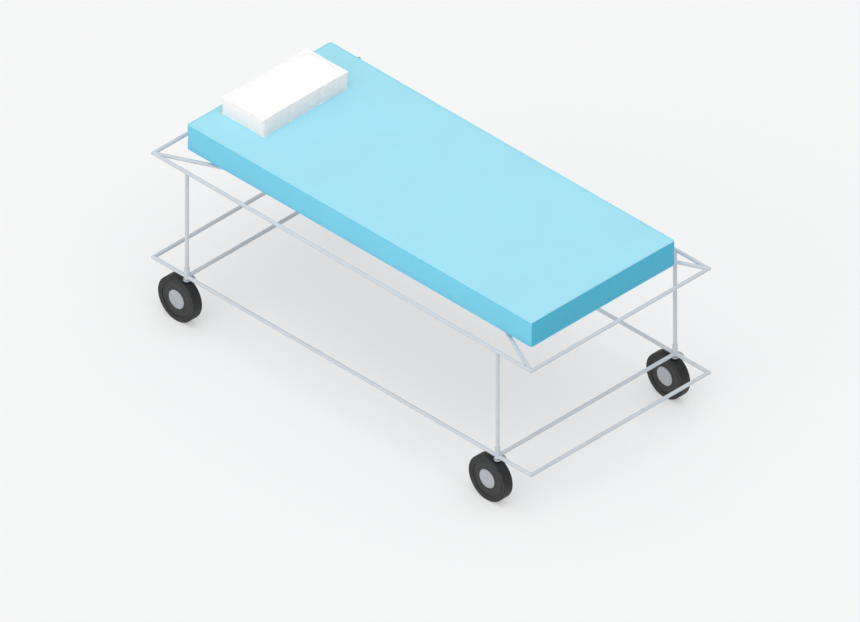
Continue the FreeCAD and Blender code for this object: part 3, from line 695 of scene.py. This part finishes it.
# Sections of strips of cloth, then the rows of stitches on them, as (outward, up) from the line on the
# cushion that a strip follows.
FLAP_SECTION = [(-0.0006, 0.013), (0.0012, 0.0128), (0.0024, 0.004), (0.0032, -0.0108), (0.0024, -0.0118),
                (0.0016, -0.0108), (0.0008, 0.003), (-0.0006, 0.010)]
TAPE_SECTION = [(-0.0006, 0.011), (0.0006, 0.0105), (0.0006, -0.0105), (-0.0006, -0.011)]
LAP_SECTION = [(-0.0008, 0.022), (0.0006, 0.021), (0.0012, 0.004), (0.0022, -0.0205), (0.0016, -0.0215),
               (0.0008, -0.0205), (-0.0008, 0.0)]
FLAP_STITCHES = (0.0011, 0.0105)
LAP_STITCHES = (0.0016, -0.013)
TAPE_STITCHES = ((0.0006, 0.009), (0.0006, -0.009))

FLAP_FROM_HEAD = 0.12
FLAP_FROM_FOOT = 0.16
TAPE_UNDER_FLAP = 0.02
TAPE_PAST_FLAP = 0.045
SLIDER_STEP = 4  # where the slider stands, in steps along the tape
COIL_OUT = 0.001
COIL_PITCH = 0.0016
COIL_REACH = 0.0028
COIL_R = 0.0008
LAP_FROM_CORNER = 0.006
LAP_BELOW_TOP = 0.030


def mattress():
    """Firm foam in a fitted cover of top, side and end panels, with a welt along both seams. The side and
    end panels are the top's colour painted darker, as painted shade.
    """
    top = coated_fabric("mattress_top_cloth", srgb(163, 226, 242))
    # Painted shade: the side cloth, and the end cloth darker still, are the top's colour made darker and
    # deeper to stand in for the shade on the sides and ends.
    side = coated_fabric("mattress_side_cloth", srgb(121, 208, 235))
    end = coated_fabric("mattress_end_cloth", srgb(78, 185, 215))
    cushion = Cushion("mattress_fitted_cover", "mattress_cover", top,
                      cell=0.0125, corner=0.006, pull=0.002, sink=0.002)
    cushion.fill(pressure=3.0, slack=0.01, bending=0.4, side_cap=0.0035, top_cap=0.002)
    paint_light_on_panels(cushion, side, end)
    cushion.smooth(1)
    rings = [swept(cushion.line(seam), WELT_R, ripple=0.1, pitch=0.007) for seam in cushion.seams]
    cushion.dress("top_welt", rings[1:], top, "mattress_fabric")
    uprights = [swept(cushion.line(seam), CORNER_SEAM_R, closed=False)
                for seam in cushion.block.upright_seams()]
    # The lower welt and the corner seams take the side cloth, with its painted shade.
    cushion.dress("lower_welts", rings[:1] + uprights, side, "mattress_fabric")
    bottom, upper = cushion.seams
    rows = [cushion.beside(seam, MATTRESS_STITCHES_FROM_SEAM, on_top)
            for seam, on_top in ((upper, True), (upper, False), (bottom, False))]
    sewn = [shape for row in rows for shape in stitches(row, **CLOTH_STITCH)]
    cushion.dress("stitching", sewn, thread("mattress_thread", srgb(120, 200, 228)), "mattress_fabric")
    # The zip's flap and tape take the side cloth, with its painted shade.
    zip_fastener(cushion, side)
    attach(cushion.piece, "mattress")
    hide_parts("mattress_cover", "mattress_foam_core")


def paint_light_on_panels(cushion, side, end, facing=0.6):
    """Gives the side and end panels the cloths that carry their painted light, and the bottom the sides'.

    A panel faces along an axis when its normal has more than the facing share of its length that way.
    """
    mesh = cushion.piece.data
    mesh.materials.append(side)
    mesh.materials.append(end)
    mesh.update()
    for polygon in mesh.polygons:
        normal = polygon.normal
        if normal.z > facing:
            polygon.material_index = 0
        elif abs(normal.x) > facing:
            polygon.material_index = 2
        else:
            polygon.material_index = 1


def left_strip(cushion, start, end, level, section, steps=60, outside=0.02):
    """A strip of cloth along a cushion's left side, and the line that it follows.

    The line is where the cushion is nearest to a straight one, at that level and that far outside it.
    """
    vertices, line = [], []
    count = len(section)
    for k in range(steps + 1):
        x = start + (end - start) * k / steps
        guide = Vector((x, cushion.block.high.y + outside, level))
        place, normal = cushion.surface.find_nearest(guide)[:2]
        line.append((place, normal))
        vertices += [place + normal * out + UP * up for out, up in section]
    faces = [tuple(range(count)), tuple(reversed(range(steps * count, (steps + 1) * count)))]
    for k in range(steps):
        for s in range(count):
            here, after = k * count, (k + 1) * count
            faces.append((here + (s + 1) % count, here + s, after + s, after + (s + 1) % count))
    return (vertices, faces), line


def shifted(line, out, up):
    """A line of (place, normal), moved outward and up."""
    return [(place + normal * out + UP * up, normal) for place, normal in line]


def zip_fastener(cushion, cloth):
    """The zip along the far side: a tape with its coil, a flap over most of it, a slider and its pull."""
    low, high = cushion.block.low, cushion.block.high
    level = cushion.block.centre.z
    flap_end = high.x - FLAP_FROM_FOOT
    flap, flap_line = left_strip(cushion, low.x + FLAP_FROM_HEAD, flap_end, level, FLAP_SECTION)
    tape, tape_line = left_strip(cushion, flap_end - TAPE_UNDER_FLAP, flap_end + TAPE_PAST_FLAP, level,
                                 TAPE_SECTION, steps=8)
    cushion.dress("zip_flap", [flap, tape], cloth, "mattress_fabric")
    colour = thread("zip_thread", srgb(104, 186, 216))
    rows = stitches(shifted(flap_line, *FLAP_STITCHES), closed=False, **CLOTH_STITCH)
    for shift in TAPE_STITCHES:
        rows += stitches(shifted(tape_line, *shift), closed=False, **TAPE_STITCH)
    cushion.dress("zip_stitching", rows, colour, "mattress_fabric")
    turns = resampled(shifted(tape_line, COIL_OUT, 0), COIL_PITCH, closed=False)
    coil = [stitch(place, UP, normal, COIL_REACH, COIL_R) for place, normal in turns]
    cushion.dress("zip_coil", coil, moulded("zip_nylon", srgb(84, 160, 190), 0.4), "mattress_fabric")
    slider = zip_slider(*tape_line[SLIDER_STEP])
    cushion.dress("zip_slider", slider, bright_steel("zip_metal"), "bright_steel")


SLIDER_OUTLINE = [(-0.006, 0.0), (-0.004, 0.0042), (0.001, 0.0052), (0.006, 0.0046), (0.0068, 0.0),
                  (0.006, -0.0046), (0.001, -0.0052), (-0.004, -0.0042)]
SLIDER_LEVELS = [(0.0008, 1.0), (0.0030, 1.0), (0.0036, 0.82)]  # (outward, share of the outline's size)
SLIDER_TOP = 0.0036
LOOP_R = 0.0026
LOOP_WIRE_R = 0.0006
PULL_OUT = 0.0060
PULL_HALF_LENGTH = 0.0125
PULL_HALF_WIDTH = 0.0032
PULL_TAPER = 0.0012
PULL_WIRE_R = 0.0009


def zip_slider(place, normal, steps=20):
    """The slider, shield-shaped with a loop on it, and its pull, which hangs down from the loop."""
    along = UP.cross(normal).normalized()
    vertices = [place + normal * out + (along * u + UP * v) * size
                for out, size in SLIDER_LEVELS for u, v in SLIDER_OUTLINE]
    count = len(SLIDER_OUTLINE)
    faces = [tuple(reversed(range(count))), tuple(range(len(vertices) - count, len(vertices)))]
    faces += ring_faces(0, len(SLIDER_LEVELS), count)
    loop, pull = [], []
    hanging = place + normal * PULL_OUT - UP * PULL_HALF_LENGTH
    for k in range(steps):
        turn = 2 * math.pi * k / steps
        loop.append(place + normal * (SLIDER_TOP + LOOP_R * math.cos(turn)) + UP * LOOP_R * math.sin(turn))
        half_width = PULL_HALF_WIDTH - PULL_TAPER * math.cos(turn)
        pull.append(hanging + UP * PULL_HALF_LENGTH * math.cos(turn) + along * half_width * math.sin(turn))
    return [(vertices, faces), swept(loop, LOOP_WIRE_R), swept(pull, PULL_WIRE_R)]


def case_opening(cushion, cloth):
    """The pillowcase's opening at its left end: the edge of the cloth that laps over it, with its hem."""
    low, high = cushion.block.low, cushion.block.high
    lap, line = left_strip(cushion, low.x + LAP_FROM_CORNER, high.x - LAP_FROM_CORNER,
                           high.z - LAP_BELOW_TOP, LAP_SECTION, steps=40)
    # The lap is in the band cloth, tinted warmer as painted light against the mattress's cyan bounce.
    cushion.dress("case_lap", [lap], cloth, "pillow_cotton")
    hem = stitches(shifted(line, *LAP_STITCHES), closed=False, **COTTON_STITCH)
    cushion.dress("hem_stitching", hem, thread("hem_thread", COTTON_THREAD), "pillow_cotton")


def pillow():
    """A boxed cushion in a cotton case, crowned between its seams."""
    cloth = cotton("pillow_percale", srgb(252, 250, 249))
    # Painted light: the band cloth on the pillow's sides and on the case's lap is the percale tinted
    # warmer, to cancel the cyan light that the mattress throws on to them.
    band = cotton("pillow_band_percale", srgb(254, 245, 243))
    cushion = Cushion("pillow_soft_case", "pillow_case", cloth,
                      cell=0.007, corner=0.008, pull=0.004, sink=0.003)
    cushion.fill(pressure=4.0, slack=0.03, bending=0.08, side_cap=0.005, top_cap=0.008)
    paint_light_on_panels(cushion, band, band)
    cushion.smooth(1)
    ridges = [swept(cushion.line(seam), PILLOW_SEAM_R, ripple=0.15, pitch=0.005) for seam in cushion.seams]
    cushion.dress("seams", ridges, cloth, "pillow_cotton")
    upper = cushion.seams[1]
    rows = [cushion.beside(upper, PILLOW_STITCHES_FROM_SEAM, on_top) for on_top in (True, False)]
    sewn = [shape for row in rows for shape in stitches(row, **COTTON_STITCH)]
    cushion.dress("stitching", sewn, thread("pillow_thread", COTTON_THREAD), "pillow_cotton")
    case_opening(cushion, band)
    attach(cushion.piece, "pillow")
    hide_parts("pillow_case", "pillow_filling")


# ================================================================ welds

BEAD_R = 0.0016
SOCKET_BEAD_INSET = 0.0004


class Tube:
    """A straight round tube of the frame, as a point on its centre line, its direction and its radius."""

    def __init__(self, start, end, radius):
        self.start, self.end, self.radius = start, end, radius
        self.along = (end - start).normalized()


def way_out(point, along, wall):
    """How far a line from a point runs before it leaves a round wall."""
    across = along - wall.along * along.dot(wall.along)
    offset = point - wall.start
    offset -= wall.along * offset.dot(wall.along)
    half_b = offset.dot(across)
    inside = half_b * half_b - across.length_squared * (offset.length_squared - wall.radius ** 2)
    return (math.sqrt(max(0.0, inside)) - half_b) / across.length_squared


def cope_loop(tube, walls, steps=56):
    """The line where a tube that starts inside some round walls comes out of the last of them."""
    side = tube.along.orthogonal().normalized()
    over = tube.along.cross(side)
    loop = []
    for k in range(steps):
        turn = 2 * math.pi * k / steps
        point = tube.start + (side * math.cos(turn) + over * math.sin(turn)) * tube.radius
        loop.append(point + tube.along * max(way_out(point, tube.along, wall) for wall in walls))
    return loop


def mitre_loop(corner, inward, radius, steps=56):
    """The line round a mitred corner: a half ellipse on the inside and a half circle round the outside."""
    loop = []
    for k in range(steps):
        turn = 2 * math.pi * k / steps
        reach = radius * (math.sqrt(2) if math.cos(turn) > 0 else 1)
        loop.append(corner + inward * reach * math.cos(turn) + UP * radius * math.sin(turn))
    return loop


def ring_loop(centre, radius, steps=48):
    """A level circle."""
    turns = [2 * math.pi * k / steps for k in range(steps)]
    return [centre + Vector((math.cos(t), math.sin(t), 0)) * radius for t in turns]


def rectangle(level):
    """The four corners of the upper or lower rectangle of tube, and the tubes' radius."""
    side, end = middle(level + "_rail_left"), middle(level + "_end_rail_foot")
    low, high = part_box(level + "_end_rail_foot")
    signs = ((-1, -1), (1, -1), (1, 1), (-1, 1))
    corners = [Vector((end.x * along, side.y * across, side.z)) for along, across in signs]
    return corners, (high.z - low.z) / 2


def weld_loops():
    """Every welded joint of the frame, as closed loops of points.

    First come both rectangles' corners, then both ends of the diagonals, the two halves' joints with the
    diagonal that runs through, the legs and the drip-pole socket.
    """
    loops = []
    upper, radius = rectangle("upper")
    lower = rectangle("lower")[0]
    for corners in (upper, lower):
        for corner in corners:
            inward = Vector((-corner.x, 0, 0)).normalized() + Vector((0, -corner.y, 0)).normalized()
            loops.append(mitre_loop(corner, inward.normalized(), radius))
    rails = [Tube(upper[k], upper[(k + 1) % 4], radius) for k in range(4)]
    through = Tube(upper[0], upper[2], radius)
    for k in range(4):
        diagonal = Tube(upper[k], upper[(k + 2) % 4], radius)
        loops.append(cope_loop(diagonal, [rails[k], rails[k - 1]]))
    hub = (upper[0] + upper[2]) / 2
    for k in (1, 3):
        loops.append(cope_loop(Tube(hub, upper[k], radius), [through]))
    for corner in CORNERS:
        loops += leg_welds(corner, upper[0].z, lower[0].z, radius)
    loops.append(drip_socket_weld(upper[2].y, upper[2].z, radius))
    return loops


def leg_welds(corner, upper_z, lower_z, radius):
    """The joints at the top of one leg and round the socket at its foot."""
    at = middle("leg_" + corner)
    top, foot = Vector((at.x, at.y, upper_z)), Vector((at.x, at.y, lower_z))
    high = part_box("castor_sockets")[1]
    socket = Tube(foot, top, high.y - abs(at.y))
    rail = Tube(top, top + Vector((1, 0, 0)), radius)
    loops = [cope_loop(Tube(top, foot, radius), [rail])]
    inward = Vector((0, -math.copysign(1, at.y), 0))
    for way in (Vector((1, 0, 0)), Vector((-1, 0, 0)), inward):
        loops.append(cope_loop(Tube(foot, foot + way, radius), [socket]))
    halfway = (radius + socket.radius) / 2
    loops.append(ring_loop(Vector((at.x, at.y, high.z)), halfway - SOCKET_BEAD_INSET))
    return loops


def drip_socket_weld(rail_y, rail_z, rail_radius, steps=40):
    """The joint where the side of the drip-pole socket meets the side of the left rail.

    In plan, the two walls cross between the first angle and its mirror image. The line runs over the rail
    from one to the other and comes back below it.
    """
    low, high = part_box("drip_pole_socket")
    centre, radius = (low + high) / 2, (high.x - low.x) / 2
    gap = rail_y - centre.y
    first = math.asin((gap - rail_radius) / radius)
    loop = []
    for k in range(steps):
        turn = 2 * math.pi * k / steps
        angle = math.pi / 2 + (math.pi / 2 - first) * math.cos(turn)
        x = centre.x + radius * math.cos(angle)
        y = centre.y + radius * math.sin(angle)
        rise = math.sqrt(max(0.0, rail_radius ** 2 - (rail_y - y) ** 2))
        loop.append(Vector((x, y, rail_z + math.copysign(rise, math.sin(turn)))))
    return loop


def welds(material):
    """The beads along every joint of the frame, painted over."""
    beads = joined([swept(loop, BEAD_R, ripple=0.35, pitch=0.0026) for loop in weld_loops()])
    piece = make_object("frame_weld_beads", *beads, material)
    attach(piece, "frame")


# ================================================================ the CAD parts' finish

def finish_nodes(material, *names):
    """Gives CAD nodes a material."""
    for name in names:
        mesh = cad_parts[name].data
        mesh.materials.clear()
        mesh.materials.append(material)


def finish_cad_parts(paint):
    """A material for every CAD part that shows."""
    steel = bright_steel("zinc_plate")
    castor_paint = worn_paint("castor_lacquer", srgb(172, 178, 185), rough=(0.3, 0.48), chips=0.46)
    tubes = [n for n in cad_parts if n.startswith(("upper_", "lower_", "leg_"))]
    finish_nodes(paint, *tubes, "castor_sockets", "drip_pole_socket")
    finish_nodes(steel, "platform_saddles", "platform_screws")
    finish_nodes(moulded("bush_nylon", srgb(60, 62, 66), 0.5), "swivel_bushes")
    finish_nodes(moulded("liner_plastic", srgb(212, 217, 221), 0.5), "drip_pole_liner")
    finish_nodes(laminate("board_laminate"), "mattress_platform")
    finish_nodes(grip_pile("grip_pile"), "mattress_grip_strips")
    rim = moulded("rim_nylon", srgb(42, 42, 43), 0.6)
    cap = moulded("cap_plastic", srgb(160, 165, 171), 0.45)
    rubber = tyre_rubber("tyre_rubber")
    for corner in CORNERS:
        castor = "castor_" + corner + "_"
        finish_nodes(castor_paint, castor + "fork", castor + "brake_pedal")
        finish_nodes(steel, castor + "stem", castor + "axle_set", castor + "bearings")
        finish_nodes(rim, castor + "rim")
        finish_nodes(cap, castor + "hub_cap")
        finish_nodes(rubber, castor + "tyre")


def main():
    """The whole scene."""
    isometric_camera()
    daylight()
    floor()
    paint = worn_paint("frame_powder_coat", srgb(199, 206, 213))
    finish_cad_parts(paint)
    welds(paint)
    mattress()
    pillow()


main()
